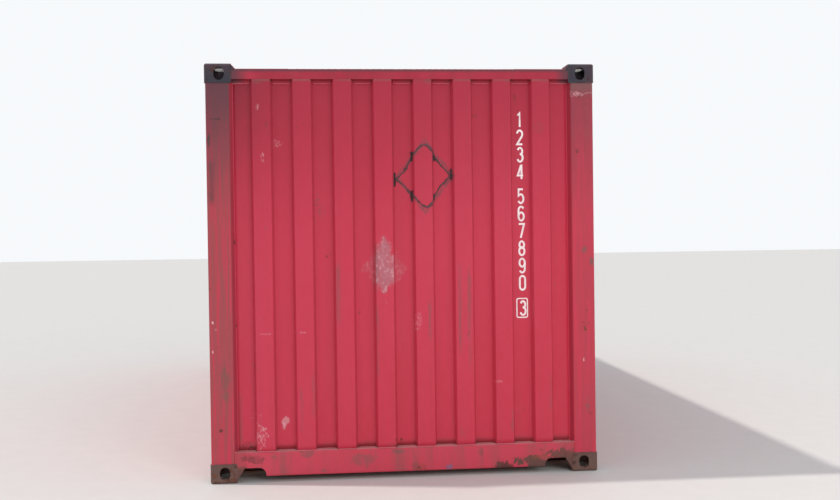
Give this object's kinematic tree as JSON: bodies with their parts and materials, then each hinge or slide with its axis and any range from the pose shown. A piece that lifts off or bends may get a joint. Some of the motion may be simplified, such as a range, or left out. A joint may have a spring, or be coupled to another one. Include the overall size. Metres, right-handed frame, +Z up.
{
  "type": "shipping container",
  "caption": "Closed dry freight container: corrugated steel box on slotted corner fittings, with fork pockets, board floor and double doors at one end.",
  "frame": {"origin": "on the ground, under the middle of the container", "axes": "+X along the container to its closed front end, the end in the picture; +Y across it, to the right as that end is seen; +Z up"},
  "size_m": [6.058, 2.438, 2.591],
  "materials": {
    "red_paint": "weathered satin",
    "worn_red_paint": "weathered matt",
    "casting_paint": "worn matt",
    "galvanised_steel": "dull zinc",
    "floor_timber": "worn varnish",
    "seal_rubber": "matt",
    "vent_plastic": "matt"
  },
  "bodies": {
    "root": {"front_top_left_fitting": "casting_paint", "front_top_right_fitting": "casting_paint", "front_bottom_left_fitting": "casting_paint", "front_bottom_right_fitting": "casting_paint", "rear_top_left_fitting": "casting_paint", "rear_top_right_fitting": "casting_paint", "rear_bottom_left_fitting": "casting_paint", "rear_bottom_right_fitting": "casting_paint", "front_left_post": "worn_red_paint", "front_right_post": "worn_red_paint", "rear_left_post": "worn_red_paint", "rear_right_post": "worn_red_paint", "roof_corner_plates": "worn_red_paint", "cross_members": "worn_red_paint", "front_fork_pocket": "worn_red_paint", "rear_fork_pocket": "worn_red_paint", "front_sill": "red_paint", "front_top_rail": "red_paint", "front_wall": "red_paint", "left_wall": "red_paint", "right_wall": "red_paint", "left_top_rail": "red_paint", "right_top_rail": "red_paint", "left_bottom_rail": "red_paint", "right_bottom_rail": "red_paint", "roof": "red_paint", "door_sill": "red_paint", "door_header": "red_paint", "left_door_frame": "red_paint", "right_door_frame": "red_paint", "left_door_panel": "red_paint", "right_door_panel": "red_paint", "left_door_hinges": "red_paint", "right_door_hinges": "red_paint", "cam_keepers": "red_paint", "floor_boards": "floor_timber", "floor_centre_rail": "galvanised_steel", "left_lock_rods": "galvanised_steel", "right_lock_rods": "galvanised_steel", "rod_guides": "galvanised_steel", "handle_catches": "galvanised_steel", "left_door_gasket": "seal_rubber", "right_door_gasket": "seal_rubber", "left_vent": "vent_plastic", "right_vent": "vent_plastic"}
  },
  "joints": []
}
